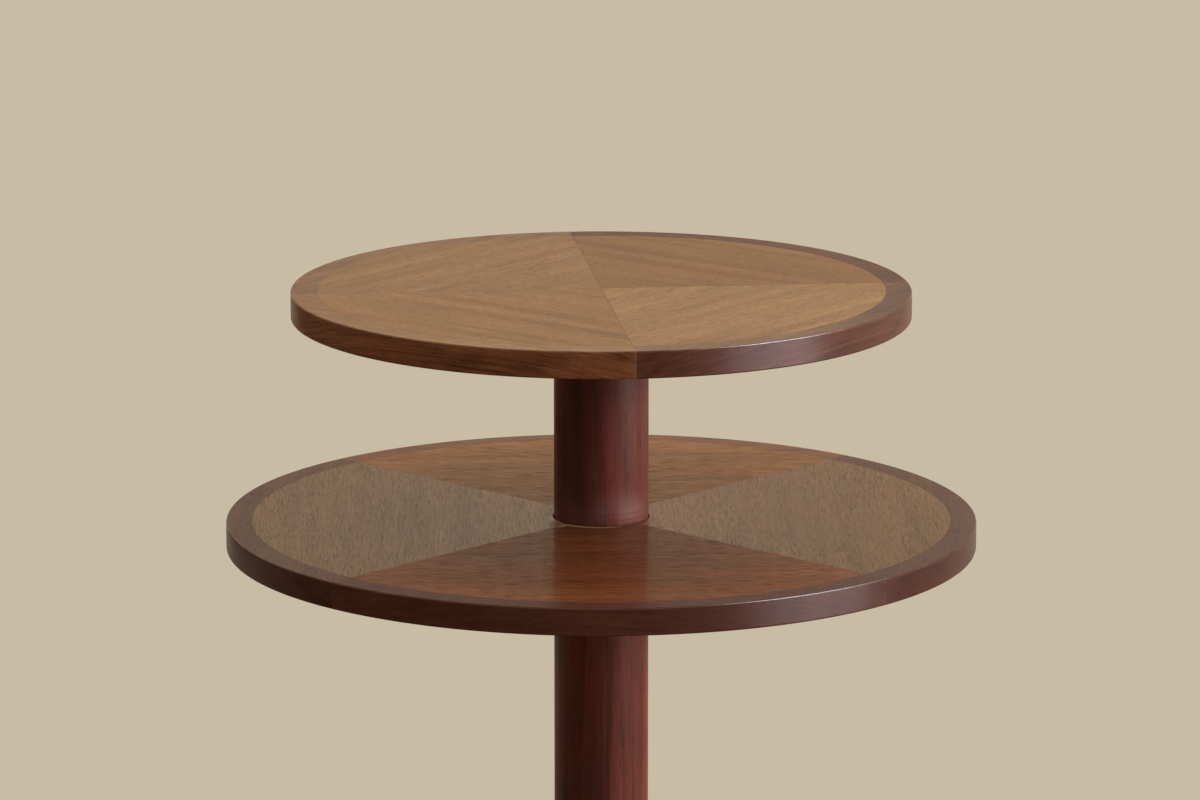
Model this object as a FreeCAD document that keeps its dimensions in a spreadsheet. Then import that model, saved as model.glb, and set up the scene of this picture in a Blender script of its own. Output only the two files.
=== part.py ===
# Round side table with two tiers on one turned column.
# The upper tier is fixed; the larger lower tier turns round the column on a collar.
# Z points up from the floor, and the column stands on the Z axis.
# The upper tier's seams lie on X and Y, the lower tier's at an angle to them.
import FreeCAD
import Part
import Sketcher
import math
import os

# Driving sizes in millimetres, with angles in degrees and plain counts.
DRIVING_SIZES = (
    # Whole table
    ("overall_height", 700, "floor to the upper tier's surface"),
    ("tier_spacing", 226, "lower surface to upper surface"),
    ("upper_diameter", 600, "across the upper tier"),
    ("lower_diameter", 730, "across the lower tier"),
    ("base_diameter", 480, "across the base"),
    ("tier_thickness", 26, "veneered board with its rim"),
    ("base_thickness", 36, "veneered board with its rim"),
    ("lower_turn", 40.6, "angle from the upper tier's seams to the lower tier's"),
    # Veneered boards
    ("veneer_thickness", 0.8, "both faces"),
    ("seam_gap", 0.15, "hairline between quarters and between rim segments"),
    ("rim_width", 25, "solid edge, measured along a radius"),
    ("arris_radius", 1.5, "rounded outer edges of the rim"),
    ("tongue_depth", 8, "rim's tongue into the board"),
    ("tongue_height", 6, "rim's tongue"),
    ("glue_gap", 0.1, "between glued pieces"),
    # Column and the tie rod in it
    ("column_diameter", 92, "outside"),
    ("tenon_diameter", 60, "at both ends"),
    ("tenon_end_gap", 1, "tenon's end to the clamp plate"),
    ("rod_diameter", 12, "tie rod"),
    ("rod_clearance", 1, "tie rod to the column's bore, on the radius"),
    ("rod_end", 2, "tie rod past its nut"),
    ("rod_end_cover", 1.5, "tie rod's end above the base's underside"),
    ("thread_gap", 0.05, "tie rod to its nut and plate, on the radius"),
    ("nut_flats", 19, "across flats"),
    ("nut_height", 10, "tie rod's nut"),
    ("washer_diameter", 24, "tie rod's washer"),
    ("washer_thickness", 2.5, "tie rod's washer"),
    ("plate_lap", 25, "clamp plates past the tenons, on the radius"),
    ("plate_thickness", 5, "clamp plates"),
    ("plate_clearance", 0.5, "clamp plate in its recess, on the radius"),
    # Blocks under the tiers
    ("boss_diameter", 180, "block under the upper tier"),
    ("boss_thickness", 24, "block under the upper tier"),
    ("hub_diameter", 180, "block under the lower tier"),
    ("hub_thickness", 34, "block under the lower tier"),
    ("hub_clearance", 0.3, "hub round the column, on the radius"),
    ("hole_clearance", 1.2, "lower tier's hole round the column, on the radius"),
    ("ring_width", 16, "thrust ring's outside from the column, on the radius"),
    ("ring_thickness", 2, "thrust ring under the hub"),
    ("ring_clearance", 0.5, "thrust ring round the column, on the radius"),
    ("collar_wall", 22, "collar's outside from the column, on the radius"),
    ("collar_thickness", 30, "collar that carries the lower tier"),
    ("block_round", 4, "rounded lower edge of boss, hub and collar"),
    # Feet
    ("foot_height", 8, "under the base"),
    ("foot_diameter", 40, "under the base"),
    ("foot_inset", 40, "foot's centre from the base's edge"),
    ("foot_round", 2, "rounded edge where a foot meets the floor"),
    ("foot_recess", 2.5, "screw head above the floor face"),
    # Countersunk wood screws
    ("screw_shank", 5, "diameter"),
    ("screw_head", 9.5, "diameter"),
    ("screw_gap", 0.1, "screw to its hole"),
    ("boss_screw_count", 8, "screws through the boss"),
    ("hub_screw_count", 6, "screws through the hub"),
    ("tier_bite_share", 0.6, "of a tier's thickness that boss and hub screws reach"),
    ("plate_screw_count", 4, "screws in each clamp plate"),
    ("plate_bite_share", 0.7, "of the wood behind a clamp plate that its screws reach"),
    ("collar_screw_count", 4, "screws through the collar"),
    ("collar_screw_recess", 2, "screw head below the collar's face"),
    ("collar_screw_bite", 22, "screw into the column"),
    ("foot_screw_bite", 16, "screw into the base"),
)
QUARTER_TURN = 90
FULL_TURN = 360
FOOT_COUNT = 4
# How a sketch numbers an edge's points, its own axes and its origin
START, END, CENTRE = 1, 2, 3
LEVEL_AXIS, UPRIGHT_AXIS = -1, -2
ORIGIN = (-1, 1)

doc = FreeCAD.newDocument("TieredTable")
sheet = doc.addObject("Spreadsheet::Sheet", "Sizes")
for row, (alias, number, meaning) in enumerate(DRIVING_SIZES, start=1):
    sheet.set(f"A{row}", alias)
    sheet.set(f"B{row}", str(number))
    sheet.setAlias(f"B{row}", alias)
    sheet.set(f"C{row}", meaning)
doc.recompute()


class Formula:
    """A size worked out from the sheet: its text binds a property, its value places a first guess."""

    def __init__(self, text, value):
        self.text = text
        self.value = value

    def joined(self, sign, other, value):
        other_text = other.text if isinstance(other, Formula) else str(other)
        return Formula(f"({self.text} {sign} {other_text})", value)

    def __add__(self, other):
        return self.joined("+", other, self.value + plain(other))

    def __sub__(self, other):
        return self.joined("-", other, self.value - plain(other))

    def __mul__(self, other):
        return self.joined("*", other, self.value * plain(other))

    def __truediv__(self, other):
        return self.joined("/", other, self.value / plain(other))


class SheetSizes:
    """Reads a cell by its alias, as sizes.rim_width."""

    def __getattr__(self, alias):
        return Formula(f"Sizes.{alias}", float(sheet.get(alias)))


def plain(size):
    return size.value if isinstance(size, Formula) else float(size)


def bind(item, path, size):
    item.setExpression(path, size.text)


sizes = SheetSizes()
nodes = []

# Levels above the floor
base_bottom = sizes.foot_height
base_top = base_bottom + sizes.base_thickness
upper_top = sizes.overall_height
upper_bottom = upper_top - sizes.tier_thickness
boss_bottom = upper_bottom - sizes.boss_thickness
lower_top = upper_top - sizes.tier_spacing
lower_bottom = lower_top - sizes.tier_thickness
hub_bottom = lower_bottom - sizes.hub_thickness
ring_bottom = hub_bottom - sizes.ring_thickness
collar_bottom = ring_bottom - sizes.collar_thickness
collar_middle = ring_bottom - sizes.collar_thickness / 2
rod_bottom = base_bottom + sizes.rod_end_cover
nut_bottom = rod_bottom + sizes.rod_end
washer_bottom = nut_bottom + sizes.nut_height
base_plate_bottom = washer_bottom + sizes.washer_thickness
base_plate_top = base_plate_bottom + sizes.plate_thickness
top_plate_bottom = upper_bottom - sizes.plate_thickness

# Radii that several pieces share
column_radius = sizes.column_diameter / 2
tenon_radius = sizes.tenon_diameter / 2
mortise_radius = tenon_radius + sizes.glue_gap
rod_radius = sizes.rod_diameter / 2
bore_radius = rod_radius + sizes.rod_clearance
thread_radius = rod_radius + sizes.thread_gap
plate_radius = tenon_radius + sizes.plate_lap
recess_radius = plate_radius + sizes.plate_clearance
hole_radius = column_radius + sizes.hole_clearance
boss_radius = sizes.boss_diameter / 2
hub_radius = sizes.hub_diameter / 2
hub_bore_radius = column_radius + sizes.hub_clearance
ring_radius = column_radius + sizes.ring_width
ring_bore_radius = column_radius + sizes.ring_clearance
collar_radius = column_radius + sizes.collar_wall
foot_radius = sizes.foot_diameter / 2
foot_place = sizes.base_diameter / 2 - sizes.foot_inset


def origin_feature(body, role):
    return next(item for item in body.Origin.OriginFeatures if item.Role == role)


def new_body(label):
    body = doc.addObject("PartDesign::Body", label)
    body.Label = label
    nodes.append(body)
    return body


def step_sign(start, end):
    return (plain(end) > plain(start)) - (plain(end) < plain(start))


def moved(size, step, sign):
    return step * sign + size if sign else size


def rounded_path(corners):
    """Turns square corners that carry a radius into two points and an arc between them."""
    points = []
    for index, (across, up, *radius) in enumerate(corners):
        if not radius:
            points.append((across, up, None))
            continue
        before = corners[index - 1]
        after = corners[(index + 1) % len(corners)]
        back_x = step_sign(across, before[0])
        back_y = step_sign(up, before[1])
        on_x = step_sign(across, after[0])
        on_y = step_sign(up, after[1])
        turn = (-back_x) * on_y - (-back_y) * on_x
        centre_x = plain(across) + radius[0].value * (back_x + on_x)
        centre_y = plain(up) + radius[0].value * (back_y + on_y)
        arc = (radius[0], FreeCAD.Vector(centre_x, centre_y, 0), turn > 0)
        points.append((moved(across, radius[0], back_x), moved(up, radius[0], back_y), arc))
        points.append((moved(across, radius[0], on_x), moved(up, radius[0], on_y), None))
    return points


def hold_point(sketch, edge, end, across, up):
    """Ties one end of an edge to its distances from the sketch's axes."""
    for size, kind, axis in ((across, "DistanceX", UPRIGHT_AXIS), (up, "DistanceY", LEVEL_AXIS)):
        if isinstance(size, Formula):
            held = sketch.addConstraint(Sketcher.Constraint(kind, *ORIGIN, edge, end, size.value))
            bind(sketch, f"Constraints[{held}]", size)
        else:
            sketch.addConstraint(Sketcher.Constraint("PointOnObject", edge, end, axis))


def new_sketch(body, name, plane):
    sketch = body.newObject("Sketcher::SketchObject", name)
    sketch.AttachmentSupport = (origin_feature(body, plane), [""])
    sketch.MapMode = "FlatFace"
    return sketch


def outline(body, name, corners, axis=None):
    """A closed outline in the XZ plane, with a line to turn it about where that isn't Z."""
    sketch = new_sketch(body, name, "XZ_Plane")
    points = rounded_path(corners)
    edges = []
    for index, (across, up, arc) in enumerate(points):
        following = points[(index + 1) % len(points)]
        start = FreeCAD.Vector(plain(across), plain(up), 0)
        end = FreeCAD.Vector(plain(following[0]), plain(following[1]), 0)
        if arc is None:
            edge = sketch.addGeometry(Part.LineSegment(start, end), False)
            edges.append((edge, START, END))
            continue
        radius, centre, leftward = arc
        first, last = (start, end) if leftward else (end, start)
        circle = Part.Circle(centre, FreeCAD.Vector(0, 0, 1), radius.value)
        angles = [math.atan2(point.y - centre.y, point.x - centre.x) for point in (first, last)]
        edge = sketch.addGeometry(Part.ArcOfCircle(circle, *angles), False)
        edges.append((edge, START, END) if leftward else (edge, END, START))
    for index, (edge, start, end) in enumerate(edges):
        next_edge, next_start, next_end = edges[(index + 1) % len(edges)]
        sketch.addConstraint(Sketcher.Constraint("Coincident", edge, end, next_edge, next_start))
        across, up, arc = points[index]
        hold_point(sketch, edge, start, across, up)
        if arc is not None:
            held = sketch.addConstraint(Sketcher.Constraint("Radius", edge, arc[0].value))
            bind(sketch, f"Constraints[{held}]", arc[0])
    if axis is not None:
        ends = [FreeCAD.Vector(plain(across), plain(up), 0) for across, up in axis]
        line = sketch.addGeometry(Part.LineSegment(*ends), True)
        for end, (across, up) in zip((START, END), axis):
            hold_point(sketch, line, end, across, up)
    return sketch


def turn_about(feature, sketch, axis_name):
    feature.Profile = sketch
    feature.ReferenceAxis = (sketch, [axis_name])
    feature.Angle = FULL_TURN


def turned(label, corners):
    """A piece turned on the lathe about the table's own axis."""
    body = new_body(label)
    sketch = outline(body, f"{label}_outline", corners)
    revolution = body.newObject("PartDesign::Revolution", f"{label}_turning")
    turn_about(revolution, sketch, "V_Axis")
    return body


def repeat_round(body, feature, count):
    pattern = body.newObject("PartDesign::PolarPattern", f"{feature.Name}_round")
    pattern.Originals = [feature]
    pattern.Axis = (origin_feature(body, "Z_Axis"), [""])
    pattern.Angle = FULL_TURN
    if isinstance(count, Formula):
        bind(pattern, "Occurrences", count)
    else:
        pattern.Occurrences = count
    body.Tip = pattern


class Screws:
    """A ring of countersunk screws with their holes: upright, or sunk in a collar and pointing inwards."""

    def __init__(self, name, place, head, direction, length, count, recess=None):
        self.name = name
        self.place = place
        self.head = head
        self.direction = direction
        self.length = length
        self.count = count
        self.radial = recess is not None
        self.mouth = recess + sizes.screw_gap if self.radial else sizes.screw_gap

    def corner(self, distance, radius):
        along = self.head + distance * self.direction if isinstance(distance, Formula) else self.head
        aside = self.place + radius if isinstance(radius, Formula) else self.place
        return (along, aside) if self.radial else (aside, along)

    def axis(self):
        return (self.corner(0, 0), self.corner(self.length, 0))

    def add_screws(self):
        shank = sizes.screw_shank / 2
        head = sizes.screw_head / 2
        body = new_body(self.name)
        corners = (
            self.corner(0, 0),
            self.corner(0, head),
            self.corner(head - shank, shank),
            self.corner(self.length - sizes.screw_shank, shank),
            self.corner(self.length, 0),
        )
        sketch = outline(body, f"{self.name}_outline", corners, self.axis())
        revolution = body.newObject("PartDesign::Revolution", f"{self.name}_turning")
        turn_about(revolution, sketch, "Axis0")
        repeat_round(body, revolution, self.count)

    def drill(self, body):
        shank = sizes.screw_shank / 2 + sizes.screw_gap
        head = sizes.screw_head / 2 + sizes.screw_gap
        corners = (
            self.corner(self.mouth * -1, 0),
            self.corner(self.mouth * -1, head),
            self.corner(0, head),
            self.corner(head - shank, shank),
            self.corner(self.length - sizes.screw_shank, shank),
            self.corner(self.length + sizes.screw_gap * 2, 0),
        )
        name = f"{body.Name}_{self.name}_hole"
        sketch = outline(body, f"{name}_outline", corners, self.axis())
        groove = body.newObject("PartDesign::Groove", name)
        turn_about(groove, sketch, "Axis0")
        repeat_round(body, groove, self.count)


def bore_out(body, corners):
    """Turns a recess out of a piece."""
    sketch = outline(body, f"{body.Name}_recess_outline", corners)
    groove = body.newObject("PartDesign::Groove", f"{body.Name}_recess")
    turn_about(groove, sketch, "V_Axis")


def turn_to(body, angle):
    """Swings a piece round the table's axis."""
    body.Placement.Rotation = FreeCAD.Rotation(FreeCAD.Vector(0, 0, 1), plain(angle))
    if isinstance(angle, Formula):
        bind(body, "Placement.Rotation.Angle", angle)


def veneer_quarter(label, inner_radius, outer_radius, bottom, angle):
    """A quarter of veneer between two seams, each edge half a hairline from its seam."""
    body = new_body(label)
    sketch = new_sketch(body, f"{label}_outline", "XY_Plane")
    edge_gap = sizes.seam_gap / 2
    start_angle = math.asin(edge_gap.value / outer_radius.value)
    upright = FreeCAD.Vector(0, 0, 1)
    centre = FreeCAD.Vector(0, 0, 0)
    outer_circle = Part.Circle(centre, upright, outer_radius.value)
    outer_arc = Part.ArcOfCircle(outer_circle, start_angle, math.pi / 2 - start_angle)
    if inner_radius is None:
        inner_first = FreeCAD.Vector(edge_gap.value, edge_gap.value, 0)
        inner_last = inner_first
    else:
        inner_angle = math.asin(edge_gap.value / inner_radius.value)
        inner_circle = Part.Circle(centre, upright, inner_radius.value)
        inner_arc = Part.ArcOfCircle(inner_circle, inner_angle, math.pi / 2 - inner_angle)
        inner_first = inner_arc.StartPoint
        inner_last = inner_arc.EndPoint
    rim = sketch.addGeometry(outer_arc, False)
    first_seam = sketch.addGeometry(Part.LineSegment(inner_first, outer_arc.StartPoint), False)
    last_seam = sketch.addGeometry(Part.LineSegment(outer_arc.EndPoint, inner_last), False)
    sketch.addConstraint(Sketcher.Constraint("Coincident", first_seam, END, rim, START))
    sketch.addConstraint(Sketcher.Constraint("Coincident", rim, END, last_seam, START))
    sketch.addConstraint(Sketcher.Constraint("Coincident", rim, CENTRE, *ORIGIN))
    sketch.addConstraint(Sketcher.Constraint("Horizontal", first_seam))
    sketch.addConstraint(Sketcher.Constraint("Vertical", last_seam))
    held_sizes = [
        (Sketcher.Constraint("Radius", rim, outer_radius.value), outer_radius),
        (Sketcher.Constraint("DistanceY", *ORIGIN, first_seam, END, edge_gap.value), edge_gap),
        (Sketcher.Constraint("DistanceX", *ORIGIN, last_seam, START, edge_gap.value), edge_gap),
    ]
    if inner_radius is None:
        sketch.addConstraint(Sketcher.Constraint("Coincident", last_seam, END, first_seam, START))
    else:
        hole = sketch.addGeometry(inner_arc, False)
        sketch.addConstraint(Sketcher.Constraint("Coincident", hole, START, first_seam, START))
        sketch.addConstraint(Sketcher.Constraint("Coincident", hole, END, last_seam, END))
        sketch.addConstraint(Sketcher.Constraint("Coincident", hole, CENTRE, *ORIGIN))
        held_sizes.append((Sketcher.Constraint("Radius", hole, inner_radius.value), inner_radius))
    for constraint, size in held_sizes:
        held = sketch.addConstraint(constraint)
        bind(sketch, f"Constraints[{held}]", size)
    pad = body.newObject("PartDesign::Pad", f"{label}_sheet")
    pad.Profile = sketch
    bind(pad, "Length", sizes.veneer_thickness)
    bind(body, "Placement.Base.z", bottom)
    turn_to(body, angle)


def rim_segment(label, radius, bottom, top, angle):
    """A quarter of the solid edge, with its tongue and its rounded outer edges."""
    body = new_body(label)
    inner = radius - sizes.rim_width
    tongue_end = inner - sizes.tongue_depth
    middle = bottom + (top - bottom) / 2
    tongue_low = middle - sizes.tongue_height / 2
    tongue_high = middle + sizes.tongue_height / 2
    corners = (
        (radius, bottom, sizes.arris_radius),
        (radius, top, sizes.arris_radius),
        (inner, top),
        (inner, tongue_high),
        (tongue_end, tongue_high),
        (tongue_end, tongue_low),
        (inner, tongue_low),
        (inner, bottom),
    )
    sketch = outline(body, f"{label}_outline", corners)
    revolution = body.newObject("PartDesign::Revolution", f"{label}_turning")
    revolution.Profile = sketch
    revolution.ReferenceAxis = (sketch, ["V_Axis"])
    revolution.Midplane = True
    hairline = sizes.seam_gap / radius * math.degrees(1)
    bind(revolution, "Angle", hairline * -1 + QUARTER_TURN)
    turn_to(body, angle)


def veneered_board(name, radius, bottom, top, inner_radius, first_middle, quarter_names):
    """A round core in a solid rim, with quartered veneer above and one sheet below."""
    core_radius = radius - sizes.rim_width - sizes.glue_gap
    core_bottom = bottom + sizes.veneer_thickness
    core_top = top - sizes.veneer_thickness
    groove_end = core_radius - sizes.tongue_depth
    groove_middle = bottom + (top - bottom) / 2
    groove_half = sizes.tongue_height / 2 + sizes.glue_gap
    core_inner = 0 if inner_radius is None else inner_radius
    core = turned(f"{name}_core", (
        (core_inner, core_bottom),
        (core_radius, core_bottom),
        (core_radius, groove_middle - groove_half),
        (groove_end, groove_middle - groove_half),
        (groove_end, groove_middle + groove_half),
        (core_radius, groove_middle + groove_half),
        (core_radius, core_top),
        (core_inner, core_top),
    ))
    counter_veneer = turned(f"{name}_counter_veneer", (
        (core_inner, bottom),
        (core_radius, bottom),
        (core_radius, core_bottom),
        (core_inner, core_bottom),
    ))
    for step, quarter in enumerate(quarter_names):
        middle = first_middle + QUARTER_TURN * step
        seam = middle - QUARTER_TURN / 2
        veneer_quarter(f"{name}_veneer_{quarter}", inner_radius, core_radius, core_top, seam)
        rim_segment(f"{name}_rim_{quarter}", radius, bottom, top, middle)
    return core, counter_veneer


# Quarters are named from the middle of each one, counted anticlockwise from above.
diagonal_quarters = ("back_right", "back_left", "front_left", "front_right")
square_quarters = ("back", "left", "front", "right")
upper_middle = QUARTER_TURN / 2
lower_middle = sizes.lower_turn + QUARTER_TURN / 2

upper_core, upper_counter_veneer = veneered_board(
    "upper", sizes.upper_diameter / 2, upper_bottom, upper_top, None, upper_middle, diagonal_quarters)
lower_core, lower_counter_veneer = veneered_board(
    "lower", sizes.lower_diameter / 2, lower_bottom, lower_top, hole_radius, lower_middle, square_quarters)
base_core, base_counter_veneer = veneered_board(
    "base", sizes.base_diameter / 2, base_bottom, base_top, mortise_radius, upper_middle, diagonal_quarters)

# The base has a wide recess below for the clamp plate and the nut.
plate_recess = (
    (mortise_radius, base_bottom),
    (recess_radius, base_bottom),
    (recess_radius, base_plate_top),
    (mortise_radius, base_plate_top),
)
bore_out(base_core, plate_recess)
bore_out(base_counter_veneer, plate_recess)

# The column runs in one length from base to boss, stepped to a tenon at each end and bored for the rod.
column = turned("column", (
    (bore_radius, base_plate_top + sizes.tenon_end_gap),
    (tenon_radius, base_plate_top + sizes.tenon_end_gap),
    (tenon_radius, base_top),
    (column_radius, base_top),
    (column_radius, boss_bottom),
    (tenon_radius, boss_bottom),
    (tenon_radius, top_plate_bottom - sizes.tenon_end_gap),
    (bore_radius, top_plate_bottom - sizes.tenon_end_gap),
))

# The boss under the upper tier takes the column's tenon and, from above, a clamp plate.
boss = turned("upper_boss", (
    (mortise_radius, boss_bottom),
    (boss_radius, boss_bottom, sizes.block_round),
    (boss_radius, upper_bottom),
    (recess_radius, upper_bottom),
    (recess_radius, top_plate_bottom),
    (mortise_radius, top_plate_bottom),
))

# The hub turns on the column, and carries the lower tier.
hub = turned("lower_hub", (
    (hub_bore_radius, hub_bottom),
    (hub_radius, hub_bottom, sizes.block_round),
    (hub_radius, lower_bottom),
    (hub_bore_radius, lower_bottom),
))
turned("thrust_ring", (
    (ring_bore_radius, ring_bottom),
    (ring_radius, ring_bottom),
    (ring_radius, hub_bottom),
    (ring_bore_radius, hub_bottom),
))
collar = turned("support_collar", (
    (column_radius + sizes.glue_gap, collar_bottom),
    (collar_radius, collar_bottom, sizes.block_round),
    (collar_radius, ring_bottom),
    (column_radius + sizes.glue_gap, ring_bottom),
))

# Clamp plates at both ends of the tie rod: the upper one is threaded, the lower one takes the nut.
upper_plate = turned("upper_clamp_plate", (
    (thread_radius, top_plate_bottom),
    (plate_radius, top_plate_bottom),
    (plate_radius, upper_bottom),
    (thread_radius, upper_bottom),
))
base_plate = turned("base_clamp_plate", (
    (thread_radius, base_plate_bottom),
    (plate_radius, base_plate_bottom),
    (plate_radius, base_plate_top),
    (thread_radius, base_plate_top),
))
turned("rod_washer", (
    (thread_radius, washer_bottom),
    (sizes.washer_diameter / 2, washer_bottom),
    (sizes.washer_diameter / 2, base_plate_bottom),
    (thread_radius, base_plate_bottom),
))

rod = doc.addObject("Part::Cylinder", "tie_rod")
bind(rod, "Radius", rod_radius)
bind(rod, "Height", upper_bottom - rod_bottom)
bind(rod, "Placement.Base.z", rod_bottom)
nodes.append(rod)

nut_blank = doc.addObject("Part::Prism", "nut_blank")
nut_blank.Polygon = 6
bind(nut_blank, "Circumradius", sizes.nut_flats / math.sqrt(3))
bind(nut_blank, "Height", sizes.nut_height)
nut_hole = doc.addObject("Part::Cylinder", "nut_hole")
bind(nut_hole, "Radius", thread_radius)
bind(nut_hole, "Height", sizes.nut_height)
nut = doc.addObject("Part::Cut", "rod_nut")
nut.Base = nut_blank
nut.Tool = nut_hole
bind(nut, "Placement.Base.z", nut_bottom)
nodes.append(nut)

# Four feet stand on the axes, each held by a screw whose head lies in a recess.
foot_places = {"right": (1, 0), "back": (0, 1), "left": (-1, 0), "front": (0, -1)}
screw_hole = sizes.screw_shank / 2 + sizes.screw_gap
head_hole = sizes.screw_head / 2 + sizes.screw_gap
for side, (along_x, along_y) in foot_places.items():
    foot = turned(f"foot_{side}", (
        (head_hole, 0),
        (foot_radius, 0, sizes.foot_round),
        (foot_radius, base_bottom),
        (screw_hole, base_bottom),
        (screw_hole, sizes.foot_recess + head_hole - screw_hole),
        (head_hole, sizes.foot_recess),
    ))
    if along_x:
        bind(foot, "Placement.Base.x", foot_place * along_x)
    else:
        bind(foot, "Placement.Base.y", foot_place * along_y)

# Screws, each ring with its holes through the pieces that it passes
tier_bite = sizes.tier_thickness * sizes.tier_bite_share
boss_screws = Screws(
    "boss_screws", place=(recess_radius + boss_radius) / 2, head=boss_bottom, direction=1,
    length=sizes.boss_thickness + tier_bite, count=sizes.boss_screw_count)
hub_screws = Screws(
    "hub_screws", place=(ring_radius + hub_radius) / 2, head=hub_bottom, direction=1,
    length=sizes.hub_thickness + tier_bite, count=sizes.hub_screw_count)
plate_screw_place = (mortise_radius + plate_radius) / 2
upper_plate_screws = Screws(
    "upper_plate_screws", place=plate_screw_place, head=upper_bottom, direction=-1,
    length=sizes.plate_thickness + (top_plate_bottom - boss_bottom) * sizes.plate_bite_share,
    count=sizes.plate_screw_count)
base_plate_screws = Screws(
    "base_plate_screws", place=plate_screw_place, head=base_plate_bottom, direction=1,
    length=sizes.plate_thickness + (base_top - base_plate_top) * sizes.plate_bite_share,
    count=sizes.plate_screw_count)
collar_screws = Screws(
    "collar_screws", place=collar_middle, head=collar_radius - sizes.collar_screw_recess, direction=-1,
    length=sizes.collar_wall - sizes.collar_screw_recess + sizes.collar_screw_bite,
    count=sizes.collar_screw_count, recess=sizes.collar_screw_recess)
foot_screws = Screws(
    "foot_screws", place=foot_place, head=sizes.foot_recess, direction=1,
    length=sizes.foot_height - sizes.foot_recess + sizes.foot_screw_bite, count=FOOT_COUNT)
drilled_pieces = (
    (boss_screws, (boss, upper_counter_veneer, upper_core)),
    (hub_screws, (hub, lower_counter_veneer, lower_core)),
    (upper_plate_screws, (upper_plate, boss)),
    (base_plate_screws, (base_plate, base_core)),
    (collar_screws, (collar, column)),
    (foot_screws, (base_counter_veneer, base_core)),
)
for screws, pieces in drilled_pieces:
    screws.add_screws()
    for piece in pieces:
        screws.drill(piece)

doc.recompute()
for item in doc.Objects:
    if "Invalid" in item.State or "Error" in item.State:
        raise RuntimeError(f"{item.Label} failed: {item.State}")
for node in nodes:
    if node.Shape.isNull() or not node.Shape.isValid():
        raise RuntimeError(f"{node.Label} has no valid shape")

os.makedirs("parts", exist_ok=True)
for node in nodes:
    node.Shape.exportStep(f"parts/{node.Label}.step")
print(f"{len(nodes)} nodes written")
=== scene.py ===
import math
import random

import bmesh
import bpy
from mathutils import Matrix, Vector


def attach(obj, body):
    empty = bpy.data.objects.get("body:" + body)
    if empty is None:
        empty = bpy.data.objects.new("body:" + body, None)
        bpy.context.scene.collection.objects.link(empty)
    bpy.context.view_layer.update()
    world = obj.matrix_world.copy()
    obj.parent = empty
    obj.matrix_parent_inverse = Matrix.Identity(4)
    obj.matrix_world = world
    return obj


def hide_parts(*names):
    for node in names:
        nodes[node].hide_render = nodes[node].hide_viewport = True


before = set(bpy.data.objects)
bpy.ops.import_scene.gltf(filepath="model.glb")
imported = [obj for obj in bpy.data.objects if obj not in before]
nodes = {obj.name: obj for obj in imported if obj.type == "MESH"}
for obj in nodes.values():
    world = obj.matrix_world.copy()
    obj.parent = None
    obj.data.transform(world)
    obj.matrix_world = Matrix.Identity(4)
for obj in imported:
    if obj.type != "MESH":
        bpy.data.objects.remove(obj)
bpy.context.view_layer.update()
scene = bpy.context.scene
scene.view_settings.view_transform = "Standard"
mm = 0.001
quarter = math.pi / 2
weld = 0.001 * mm  # points closer than this become one
sharpFrom = math.radians(32)  # an edge that turns by more stays sharp
print("frame loaded:", len(nodes), "solids")


def linearOf(hexColour):
    shares = [int(hexColour[place:place + 2], 16) / 255 for place in (0, 2, 4)]
    linear = [share / 12.92 if share <= 0.04045 else ((share + 0.055) / 1.055) ** 2.4 for share in shares]
    return (*linear, 1.0)


# A node handed in as a value stands for its first output in use
def addNode(tree, kind, settings=None, inputs=None):
    node = tree.nodes.new(kind)
    for name, value in (settings or {}).items():
        setattr(node, name, value)
    for name, value in (inputs or {}).items():
        if isinstance(value, bpy.types.Node):
            value = next(output for output in value.outputs if output.enabled)
        if isinstance(value, bpy.types.NodeSocket):
            tree.links.new(value, node.inputs[name])
        else:
            node.inputs[name].default_value = value
    return node


# Settings that many nodes share
inColour = {"data_type": "RGBA"}
softly = {"interpolation_type": "SMOOTHSTEP"}
times, larger = {"operation": "MULTIPLY"}, {"operation": "MAXIMUM"}
timesPlus = {"operation": "MULTIPLY_ADD", "use_clamp": True}


def between(span):
    return {"From Min": span[0], "From Max": span[1]}


def newMaterial(name):
    material = bpy.data.materials.new(name)
    material.use_nodes = True
    material.node_tree.nodes.clear()
    return material, material.node_tree


def clamped(share):
    return min(1.0, max(0.0, share))


# Camera at the photograph's angle: long lens, a little above the upper tier
cameraSetup = {
    "lens": 170.6, "sensor": 36.0, "place": (-0.568, -5.362, 1.766), "pitch": 12.309, "turn": -6.034,
}
cameraData = bpy.data.cameras.new("camera")
cameraData.sensor_fit = "HORIZONTAL"
cameraData.sensor_width = cameraSetup["sensor"]
cameraData.lens = cameraSetup["lens"]
camera = bpy.data.objects.new("camera", cameraData)
camera.location = cameraSetup["place"]
camera.rotation_euler = (math.radians(90 - cameraSetup["pitch"]), 0, math.radians(cameraSetup["turn"]))
scene.collection.objects.link(camera)
scene.camera = camera

# Studio: a cream floor with no edge in sight, a tall soft light at the right, broad dim ones at the side,
# above and behind, two lamps for the rims alone, and a low dark card that keeps the shaded left deep
studio = {"paper": "c8bca5", "ambient": ("fff4e6", 0.41)}


# 1 where the eye, a pane or (if asked) a reflection meets the backdrop, 0 where only soft light does
def seenShare(tree, reflected):
    path = addNode(tree, "ShaderNodeLightPath")
    seen = addNode(tree, "ShaderNodeMath", larger,
                   {0: path.outputs["Is Camera Ray"], 1: path.outputs["Is Transmission Ray"]})
    if not reflected:
        return seen
    return addNode(tree, "ShaderNodeMath", larger, {0: seen, 1: path.outputs["Is Glossy Ray"]})


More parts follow.
